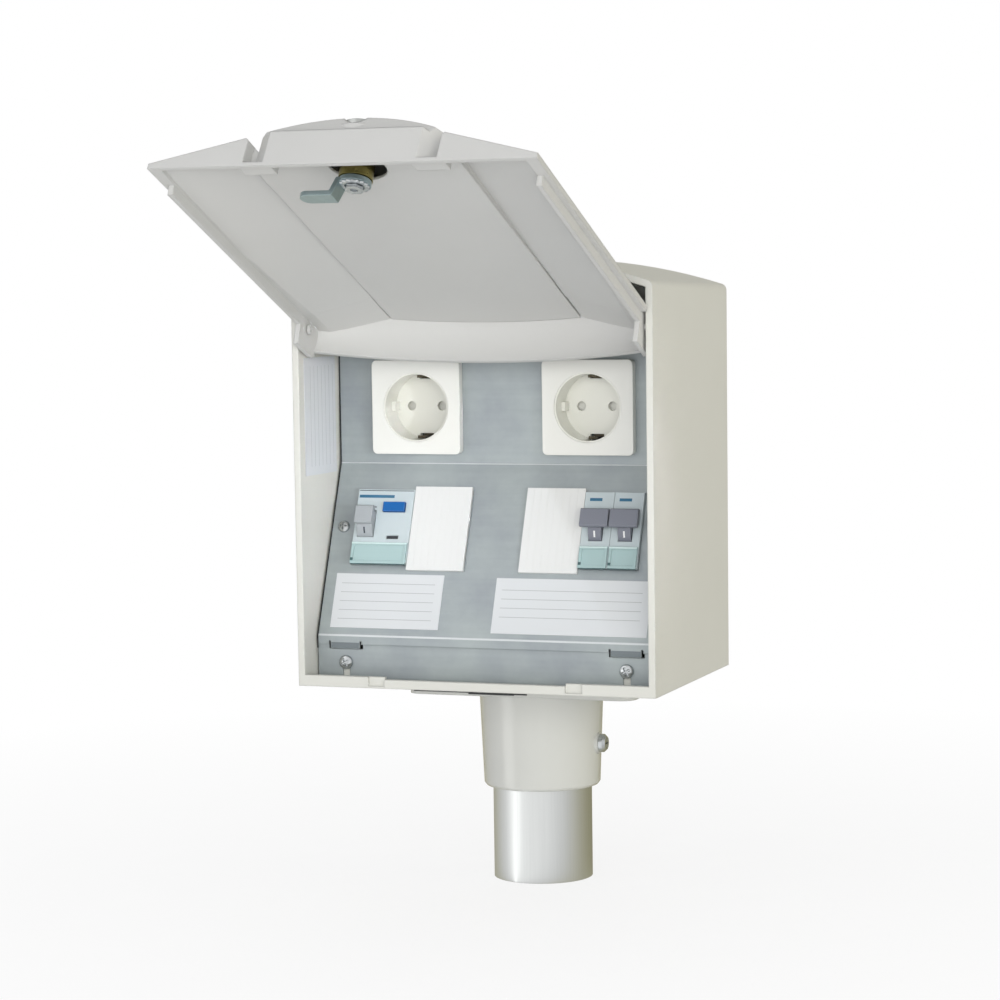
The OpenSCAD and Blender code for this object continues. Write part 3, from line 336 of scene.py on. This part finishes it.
def plated(name, face, shade, rough, spread, cell_mm, stretch=(1, 1, 1), depth_mm=.02, edge_mm=.4,
        metal=1):
    material = bpy.data.materials.new(name)
    material.use_nodes = True
    tree = material.node_tree
    shader = tree.nodes["Principled BSDF"]
    place = add(tree, "ShaderNodeTexCoord")
    drawn = add(tree, "ShaderNodeMapping", values={"Scale": stretch},
        links={"Vector": place.outputs["Object"]})
    streak = add(tree, "ShaderNodeTexNoise", values={"Scale": per_mm(cell_mm), "Detail": 3},
        links={"Vector": drawn.outputs[0]})
    fine = add(tree, "ShaderNodeTexNoise", values={"Scale": per_mm(FINE_MM), "Detail": 2},
        links={"Vector": drawn.outputs[0]})
    tone = add(tree, "ShaderNodeMix", {"data_type": "RGBA"},
        {"A": linear(face), "B": linear(shade)}, {"Factor": streak.outputs["Fac"]})
    gloss = add(tree, "ShaderNodeMapRange", values={"To Min": rough - spread, "To Max": rough + spread},
        links={"Value": streak.outputs["Fac"]})
    rounded = add(tree, "ShaderNodeBevel", {"samples": 4}, {"Radius": edge_mm*MM})
    bump = add(tree, "ShaderNodeBump", values={"Strength": .4, "Distance": depth_mm*MM},
        links={"Height": fine.outputs["Fac"], "Normal": rounded.outputs[0]})
    tree.links.new(tone.outputs["Result"], shader.inputs["Base Color"])
    tree.links.new(gloss.outputs[0], shader.inputs["Roughness"])
    tree.links.new(bump.outputs[0], shader.inputs["Normal"])
    shader.inputs["Metallic"].default_value = metal
    return material


print("fine lines in the metal:", FINE_MM, "mm")

# %% Metals
# zinc-coated sheet rolled across x: a dull blue-grey with streaks several centimetres long; its
# matt skin of zinc salts scatters light like paint, so it counts as metal only in part
finish["plate"] = plated("rolled_zinc_sheet", "b1b7ba", "a4aaae", .44, .05, 4, stretch=(.06, 1, 1),
    edge_mm=.9, metal=.35)
# bright zinc: pale, smooth and a little blue
finish["steel"] = plated("bright_zinc_steel", "d0d3d4", "b9bdbf", .24, .06, 2)
finish["cam"] = plated("blue_zinc_steel", "a9babd", "96a7aa", .3, .06, 3)
# brass left to dull: olive rather than gold
finish["brass"] = plated("dulled_brass", "9a8f56", "7b7242", .3, .08, 2.5)
# nickel on a spring contact, darkened with painted shade because it sits deep in the well where little
# light reaches it
clip_painted_shade = plated("nickel_clip_painted_shade", "6b6454", "2d2a25", .34, .08, 2.2)
# satin drawn tube: lines run along the post, so the pattern is stretched along z
finish["tube"] = plated("satin_drawn_aluminium", "d8dad9", "cfd1d0", .36, .03, 1.2,
    stretch=(1, 1, .02), depth_mm=.01)
print("metals:", [finish[k].name for k in ("plate", "steel", "cam", "brass", "tube")])

# %% [markdown]
# Zinc cools on the sheet in clouds a few centimetres wide, some bluer and some greener. They could be
# part of the recipe for metals, but only the plate is large enough to show them, so they are laid
# over its finished colour.

# %% Clouds on the zinc sheet
ZINC_CLOUD_MM = 34
tree = finish["plate"].node_tree
shader = tree.nodes["Principled BSDF"]
place = add(tree, "ShaderNodeTexCoord")
cloud = add(tree, "ShaderNodeTexNoise",
    values={"Scale": per_mm(ZINC_CLOUD_MM), "Detail": 4, "Roughness": .6},
    links={"Vector": place.outputs["Object"]})
patch = add(tree, "ShaderNodeMapRange", values={"From Min": .34, "From Max": .66},
    links={"Value": cloud.outputs["Fac"]})
cast = add(tree, "ShaderNodeMix", {"data_type": "RGBA"},
    {"A": linear("e6e8ea"), "B": linear("fcfffb")}, {"Factor": patch.outputs[0]})
zinc = add(tree, "ShaderNodeMix", {"data_type": "RGBA", "blend_type": "MULTIPLY"}, {"Factor": 1},
    {"A": shader.inputs["Base Color"].links[0].from_socket, "B": cast.outputs["Result"]})
tree.links.new(zinc.outputs["Result"], shader.inputs["Base Color"])
print("clouds on the zinc:", ZINC_CLOUD_MM, "mm")

# %% [markdown]
# Four finishes are left. The collar is a casting under enamel, which flows into a slight orange peel
# and dries with a clear gloss on top. The gasket and grommet are black rubber with a chalky bloom. The
# label covers are clear tinted polycarbonate, and the stickers are coated paper. The recipe for
# plastics gives all four, with a coat or some transmission set on the shader afterwards.

# %% Enamel, rubber, clear cover and paper
finish["collar"] = moulded("enamel_on_casting", "d0d1cd", "cacbc6", .18, 3.5, .03, 1.5, spread=.02)
shader = finish["collar"].node_tree.nodes["Principled BSDF"]
shader.inputs["Coat Weight"].default_value = 1
shader.inputs["Coat Roughness"].default_value = .16
finish["rubber"] = moulded("black_rubber", "2b2c2d", "363738", .62, .5, .05, .5)
finish["paper"] = moulded("coated_paper", "d9dcde", "d4d7da", .5, .35, .008, .1)
finish["clear"] = moulded("tinted_polycarbonate", "c3dfdf", "b9d8d9", .16, 2, .01, .5, 1.58)
shader = finish["clear"].node_tree.nodes["Principled BSDF"]
shader.inputs["Transmission Weight"].default_value = .3
print("finishes:", len(finish))

# %% [markdown]
# The record names a slot for every solid, and the finishes above are kept under the same names, so
# dressing the solids is one loop. Two kinds of piece differ from their slot: the first rocker is
# paler, and the earth clips are darkened with painted shade for their place deep in the wells.

# %% Dress the solids
for entry in frame["record"]["subparts"]:
    solid = nodes[entry["node"]]
    solid.data.materials.clear()
    solid.data.materials.append(finish[entry["material_slot"]])
nodes["rcd_toggle"].data.materials[0] = rocker_pale
for node in ("socket_left_earth", "socket_right_earth"):
    nodes[node].data.materials[0] = clip_painted_shade

# %% [markdown]
# The switchgear and its labels lie on the sloped half of the plate, so small things there are easiest
# to write in the plate's own directions: x across, v up the slope and w out of it, in millimetres.
# The slope's tilt can be read from the test button, which is pressed square to it, and its place
# from the axle of the first rocker.

# %% Directions of the slope
AXLE_V, AXLE_W = -38.4, -3
joints = {joint["name"]: joint for joint in frame["record"]["behaviour"]["joints"]}
press = Vector(joints["rcd_test_press"]["axis"])
across, out = Vector((1, 0, 0)), -press
up = out.cross(across)
axle = Vector(joints["rcd_toggle_rock"]["pos_m"])
corner = axle - up*AXLE_V*MM - out*AXLE_W*MM


def local(origin, x, y, z):
    columns = Matrix((x*MM, y*MM, z*MM)).transposed().to_4x4()
    return Matrix.Translation(origin) @ columns


slope = local(Vector((0, corner.y, corner.z)), across, up, out)
print("slope tilts", round(math.degrees(math.atan2(up.y, up.z)), 1), "degrees")

# %% [markdown]
# Printed stripes, write-in rules, cover rims and rocker marks are all thin bars. A bar could be a
# painted area in a texture, but a separate bevelled strip keeps a crisp edge at any distance. One
# helper makes any number of bars in one mesh from their corners, softens their edges, and lets the
# mesh ride with its body.

# %% Bars
def hang(name, mesh, material, body):
    data = bpy.data.meshes.new(name)
    mesh.to_mesh(data)
    mesh.free()
    data.materials.append(material)
    piece = bpy.data.objects.new(name, data)
    scene.collection.objects.link(piece)
    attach(piece, body)
    return piece


def bars(name, place, boxes, material, body, soft_mm=.02):
    mesh = bmesh.new()
    for low, high in boxes:
        low, high = Vector(low), Vector(high)
        middle = Matrix.Translation((low + high)/2)
        size = Matrix.Diagonal((*(high - low), 1))
        bmesh.ops.create_cube(mesh, size=1, matrix=middle @ size)
    bmesh.ops.bevel(mesh, geom=mesh.edges[:], offset=soft_mm, segments=2, profile=.6, affect="EDGES")
    mesh.transform(place)
    return hang(name, mesh, material, body)


def span_mm(node):
    low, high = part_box(node)
    return low[0]/MM, high[0]/MM


print("plate from", [round(x, 1) for x in span_mm("mounting_plate")], "mm")

# %% Inks, and tints for painted highlight and shade
# printing ink, and tints for painted highlight and painted shade: even colour, slight gloss
ink_dark_and_painted_shadow = moulded("printed_ink_dark", "24303a", "2c3842", .4, 1, .004, .05)
ink_blue = moulded("printed_ink_blue", "2c6485", "356d8d", .4, 1, .004, .05)
ink_grey = moulded("printed_ink_grey", "a3a8a9", "aeb2b3", .5, 1, .004, .05)
ink_white = moulded("printed_ink_white", "f4f4f4", "ececec", .5, 1, .004, .05)
rim_painted_highlight = moulded("polycarbonate_rim_pale", "d3e6e5", "c9dedd", .2, 2, .01, .2, 1.58)
rim_painted_shade_and_lug = moulded("polycarbonate_rim_deep", "3c5a5c", "466466", .25, 2, .01, .2, 1.58)
print("inks:", ink_dark_and_painted_shadow.name, ink_blue.name, ink_grey.name, ink_white.name)

# %% [markdown]
# Each device carries a printed stripe near its top. The residual-current device has a broad stripe, a
# dark line of painted shadow along its top edge and a short dark line under the stripe, and the two
# breakers have a short stripe each. They lie on the devices' noses, which stand a little proud of the
# plate.

# %% Stripes and a painted shadow line on the devices
NOSE, INK_T = 2.5, .06
INKED = NOSE + INK_T
rcd_left, rcd_right = span_mm("rcd_body")
# painted shadow: the first of these dark lines runs along the device's top edge
edges = [((rcd_left + .6, -18.4, NOSE), (rcd_right - .6, -18, INKED)),
    ((rcd_left + 4, -28.6, NOSE), (rcd_left + 12.6, -28, INKED))]
stripes = [((rcd_left + .8, -22.6, NOSE), (rcd_left + 23, -20.8, INKED))]
for node in ("mcb_1_body", "mcb_2_body"):
    left, right = span_mm(node)
    stripes.append(((left + 3, -22.8, NOSE), (left + 10.5, -21, INKED)))
bars("device_painted_shadow_and_dark_line", slope, edges, ink_dark_and_painted_shadow, "box")
bars("device_stripes", slope, stripes, ink_blue, "box")
print("stripes:", len(stripes))

# %% [markdown]
# The stickers get ruled lines to write on and no words. Two lie on the slope, so their lines run
# across it. The third is on the left wall with its lines upright, in directions of its own.

# %% Write-in rules
PITCH, HALF, RULE_T, RULE_SOFT = 5.4, .15, .04, .015
LABEL_FACE, WALL_RULES = .3, 7
for node, top, count in (("label_left", -74.5, 5), ("label_right", -76.5, 4)):
    left, right = span_mm(node)
    rules = []
    for i in range(count):
        v = top - PITCH*i
        rules.append(((left + 4, v - HALF, LABEL_FACE), (right - 5, v + HALF, LABEL_FACE + RULE_T)))
    bars(node + "_rules", slope, rules, ink_grey, "box", RULE_SOFT)
low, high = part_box("label_wall")
wall = local(Vector((high[0], low[1], low[2])), Vector((0, 1, 0)), Vector((0, 0, 1)), across)
deep, tall = (high[1] - low[1])/MM, (high[2] - low[2])/MM
rules = []
for i in range(WALL_RULES):
    y = deep - 4 - PITCH*i
    rules.append(((y - HALF, 5, 0), (y + HALF, tall - 5, RULE_T)))
bars("label_wall_rules", wall, rules, ink_grey, "box", RULE_SOFT)
print("wall sticker", round(deep, 1), "by", round(tall, 1), "mm")

# %% [markdown]
# The label covers are hinged flaps of clear plastic. Each flap gets a pale line of painted highlight
# along its upper edge, a deep green line of painted shade along its lower edge, and a small dark lug to
# lift it by. The first device also has a slot, and the shade in it is painted as a dark bar on its
# floor.

# %% Painted highlight and shade on the covers, their lugs, and the slot
RIM_SOFT = .12
for node in ("rcd_cover", "mcb_1_cover", "mcb_2_cover"):
    left, right = span_mm(node)
    # painted highlight along the upper edge of each cover, painted shade along its lower edge
    upper_painted_highlight = ((left, -51.4, 3.9), (right, -50.4, 4.2))
    lower_painted_shade = ((left + .3, -63.7, 2.7), (right - .3, -63.2, 3.8))
    lug = ((left + .2, -61.6, 4), (left + 1.8, -60, 4.5))
    bars(node + "_upper_painted_highlight", slope, [upper_painted_highlight], rim_painted_highlight, "box", RIM_SOFT)
    bars(node + "_lower_painted_shade", slope, [lower_painted_shade, lug], rim_painted_shade_and_lug, "box", RIM_SOFT)
slot_left = rcd_left + 21
# painted shade: a dark bar at the floor of the slot
slot_painted_shade = ((slot_left + .15, -47.65, 1.05), (slot_left + 7.35, -45.75, 1.8))
bars("rcd_slot_floor", slope, [slot_painted_shade], finish["dark"], "box", .1)
print("covers rimmed: 3, slot floor at", round(slot_left, 1), "mm")

# %% [markdown]
# A short upright mark on the drum of each rocker shows that it is on. The drum is round, so the bar
# sits in a frame turned about the axle to face outwards where the mark is.

# %% Rocker marks
DRUM_R, MARK_TURN, MARK_HALF = 9.6, math.radians(-31), 1.9
facing = out*math.cos(MARK_TURN) + up*math.sin(MARK_TURN)
along = up*math.cos(MARK_TURN) - out*math.sin(MARK_TURN)
for body, ink, half in (("rcd_toggle", ink_dark_and_painted_shadow, .45), ("mcb_1_toggle", ink_white, .5),
        ("mcb_2_toggle", ink_white, .5)):
    place = local(Vector(joints[body + "_rock"]["pos_m"]), across, along, facing)
    mark = ((-half, -MARK_HALF, DRUM_R - .25), (half, MARK_HALF, DRUM_R + .07))
    bars(body + "_mark", place, [mark], ink, body, .03)
print("marks turned", round(math.degrees(MARK_TURN)), "degrees about the axle")

# %% [markdown]
# Pan-head screws have a domed head with a cross pressed into it. A head could be cut from solids, but
# it is quicker to turn its outline and press the cross in by lowering the points that lie under the
# driver's blades. The shank is turned in the same outline. These take the place of the plain solids of
# the four plate screws.

# %% Domed screw
TURNS, DOME_STEPS = 48, 14
BLADE_HALF, BLADE_REACH = .13, .62


def screw(node, place, head_r, head_t, shank_r, length):
    outline = []
    for step in range(1, DOME_STEPS + 1):
        share = step/DOME_STEPS
        outline.append((head_r*share, head_t*(.3 + .7*math.sqrt(1 - share**2))))
    outline += [(head_r, .15), (head_r - .15, 0), (shank_r, 0)]
    outline += [(shank_r, .6 - length), (shank_r - .5, -length)]
    mesh = bmesh.new()
    rings = []
    for r, z in outline:
        ring = []
        for k in range(TURNS):
            x, y = r*math.cos(math.tau*k/TURNS), r*math.sin(math.tau*k/TURNS)
            in_cross = min(abs(x), abs(y)) < head_r*BLADE_HALF and r < head_r*BLADE_REACH
            sunk = head_t*.5*(1 - (r/head_r)**2) if in_cross and z > head_t*.4 else 0
            ring.append(mesh.verts.new((x, y, z - sunk)))
        rings.append(ring)
    top = mesh.verts.new((0, 0, head_t*.48))
    tip = mesh.verts.new((0, 0, -length))
    for k in range(TURNS):
        n = (k + 1) % TURNS
        mesh.faces.new((top, rings[0][k], rings[0][n]))
        mesh.faces.new((tip, rings[-1][n], rings[-1][k]))
        for inner, outer in zip(rings, rings[1:]):
            mesh.faces.new((inner[k], outer[k], outer[n], inner[n]))
    mesh.transform(place)
    piece = hang(node + "_domed", mesh, finish["steel"], "box")
    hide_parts(node)
    return piece


print("screw heads turned in", TURNS, "steps")

# %% Screws of the plate
RAIL_HEAD_T, SLOPE_SCREW_V = 2.8, -40
SCREW_TURN = math.radians(28)
driver_x = Vector((math.cos(SCREW_TURN), 0, math.sin(SCREW_TURN)))
driver_y = Vector((-math.sin(SCREW_TURN), 0, math.cos(SCREW_TURN)))
to_front = Vector((0, -1, 0))
for node in ("plate_screw_1", "plate_screw_2"):
    low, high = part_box(node)
    seat = Vector(((low[0] + high[0])/2, low[1] + RAIL_HEAD_T*MM, (low[2] + high[2])/2))
    screw(node, local(seat, driver_x, driver_y, to_front), 4.2, RAIL_HEAD_T, 2, 15)
for node in ("plate_screw_3", "plate_screw_4"):
    left, right = span_mm(node)
    seat = slope @ Vector(((left + right)/2, SLOPE_SCREW_V, 0))
    screw(node, local(seat, across, up, out), 3.6, 2.5, 2, 12)
print("screws replaced: 4")

# %% [markdown]
# A sheared and folded plate shows dark lines of shade along its sides, where the gap to the walls is,
# and a bright line on each fold, where the light catches it. Both are painted: dark strips of painted
# shadow on the sides, and paler, smoother strips of painted highlight on the folds. They could be drawn
# into the sheet's pattern, but they follow its edges, so thin strips laid along them are simpler. The
# upper fold is the slope's own corner, and the lower one lies where the slope reaches the front of the
# plate.

# %% Painted shadow along the sides of the plate
SIDE_SHADOW_W, SIDE_SHADOW_T = .8, .06
# painted shadow: dark strips along both sides of the plate
side_painted_shadow = plated("painted_shadow_at_plate_side", "2c2f31", "1f2223", .5, .05, 2, metal=.2)
low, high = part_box("mounting_plate")
left, right = span_mm("mounting_plate")
upright = (across, Vector((0, 0, 1)), to_front)
upper = local(Vector((0, corner.y, corner.z)), *upright)
front = local(Vector((0, low[1], low[2])), *upright)
v_low = (low[1] - corner.y)/up.y/MM
fold_up = (corner.z + up.z*v_low*MM - low[2])/MM
panels = (("upper", upper, 0, (high[2] - corner.z)/MM), ("slope", slope, v_low, 0),
    ("lower", front, 0, fold_up))
for name, place, start, stop in panels:
    left_shadow = ((left, start, 0), (left + SIDE_SHADOW_W, stop, SIDE_SHADOW_T))
    right_shadow = ((right - SIDE_SHADOW_W, start, 0), (right, stop, SIDE_SHADOW_T))
    bars("painted_shadow_sides_" + name, place, [left_shadow, right_shadow], side_painted_shadow, "box")
print("slope", round(-v_low, 1), "mm long between its folds")

# %% Painted highlights along the folds
# painted highlight: a paler, smoother zinc strip along each fold
fold_painted_highlight = plated("painted_highlight_on_fold", "d9dddf", "cdd2d4", .3, .04, 3, stretch=(.06, 1, 1),
    metal=.3)
upper_fold = ((left + SIDE_SHADOW_W, -.5, .01), (right - SIDE_SHADOW_W, .2, .1))
lower_fold = ((left + SIDE_SHADOW_W, v_low + .1, .01), (right - SIDE_SHADOW_W, v_low + 1.3, .08))
bars("fold_painted_highlights", slope, [upper_fold, lower_fold], fold_painted_highlight, "box")
print("folds: 2")

# %% [markdown]
# The plate hooks into the rail below it by two tabs. Each tab lies in the shade of its slot, so it gets
# a thin dark skin of painted shade, a little smaller than the tab.

# %% Painted shade on the tabs
TAB_HALF, TAB_LOW, TAB_HIGH, TAB_T = 8.8, .3, 3.6, .06
# painted shade: a dark skin over each tab
tab_painted_shade = plated("painted_shade_on_tab", "7d8589", "6c7478", .5, .05, 3, stretch=(.1, 1, 1), metal=.25)
for node in ("plate_screw_1", "plate_screw_2"):
    x = sum(span_mm(node))/2
    tab = ((x - TAB_HALF, TAB_LOW, 0), (x + TAB_HALF, TAB_HIGH, TAB_T))
    bars(node + "_tab_painted_shade", front, [tab], tab_painted_shade, "box")
print("tabs shaded: 2")

# %% [markdown]
# Between the box and the collar lies the gasket. A thin black strip runs along part of the front, on
# the front of the flange just under the box. It is three bars of slightly different depth that overlap
# at their ends, so its lower edge is uneven.

# %% Black strip under the box
LIP_TOP = -5.6
low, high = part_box("post_collar")
flange = local(Vector((0, low[1], high[2])), *upright)
lip = [((-66, -7.6, 0), (-30, LIP_TOP, .5)), ((-31, -8.4, 0), (-2, LIP_TOP, .6)),
    ((-3, -8, 0), (6, LIP_TOP, .5))]
bars("black_strip_under_box", flange, lip, finish["rubber"], "box", .2)
print("black strip of", len(lip), "bars")

# %% [markdown]
# A toothed washer keeps the tongue of the lock from working loose. It is a flat ring with slanted
# teeth, made as one outline of alternating radii around the lock's axis, between the tongue and the
# head of its screw.

# %% Toothed washer
TEETH, INNER, OUTER, ROOT = 16, 5.2, 8, 6.7
WASHER_T, FLARE = .9, .3
lock = joints["lock_turn"]
lock_axis = Vector(lock["axis"])
hub = local(Vector(lock["pos_m"]), across, lock_axis.cross(across), lock_axis)
mesh = bmesh.new()
rows = []
for height, grow in ((-WASHER_T, 0), (0, FLARE)):
    outer = []
    inner = []
    for step in range(TEETH*2):
        angle = math.pi*step/TEETH
        reach = (OUTER if step % 2 else ROOT) + grow
        outer.append(mesh.verts.new((reach*math.cos(angle), reach*math.sin(angle), height)))
        inner.append(mesh.verts.new((INNER*math.cos(angle), INNER*math.sin(angle), height)))
    rows.append((outer, inner))
(low_out, low_in), (top_out, top_in) = rows
for step in range(TEETH*2):
    after = (step + 1) % (TEETH*2)
    mesh.faces.new((low_in[step], low_in[after], low_out[after], low_out[step]))
    mesh.faces.new((top_in[step], top_out[step], top_out[after], top_in[after]))
    mesh.faces.new((low_out[step], low_out[after], top_out[after], top_out[step]))
    mesh.faces.new((low_in[step], top_in[step], top_in[after], low_in[after]))
bmesh.ops.recalc_face_normals(mesh, faces=mesh.faces[:])
mesh.transform(hub)
hang("lock_toothed_washer", mesh, finish["steel"], "lock")
print("washer with", TEETH, "teeth")

# %% [markdown]
# The lock's body is brass, but its face on the outside of the lid is nickel, as on most cam locks. A
# separate disc could lie on it, but the plating has no thickness to speak of, so the brass recipe gets
# a second colour beyond a given distance along the lock's axis.

# %% Nickel face of the lock
NICKEL_FROM, NICKEL_FULL = 27, 27.5
tree = finish["brass"].node_tree
shader = tree.nodes["Principled BSDF"]
place = add(tree, "ShaderNodeTexCoord")
along = add(tree, "ShaderNodeVectorMath", {"operation": "DOT_PRODUCT"}, {1: lock_axis},
    {0: place.outputs["Object"]})
start = lock_axis.dot(Vector(lock["pos_m"]))
face = add(tree, "ShaderNodeMapRange",
    values={"From Min": start + NICKEL_FROM*MM, "From Max": start + NICKEL_FULL*MM},
    links={"Value": along.outputs["Value"]})
nickel = add(tree, "ShaderNodeMix", {"data_type": "RGBA"}, {"B": linear("aeb0ae")},
    {"Factor": face.outputs[0], "A": shader.inputs["Base Color"].links[0].from_socket})
tree.links.new(nickel.outputs["Result"], shader.inputs["Base Color"])
print("nickel starts", NICKEL_FROM, "mm along the lock")
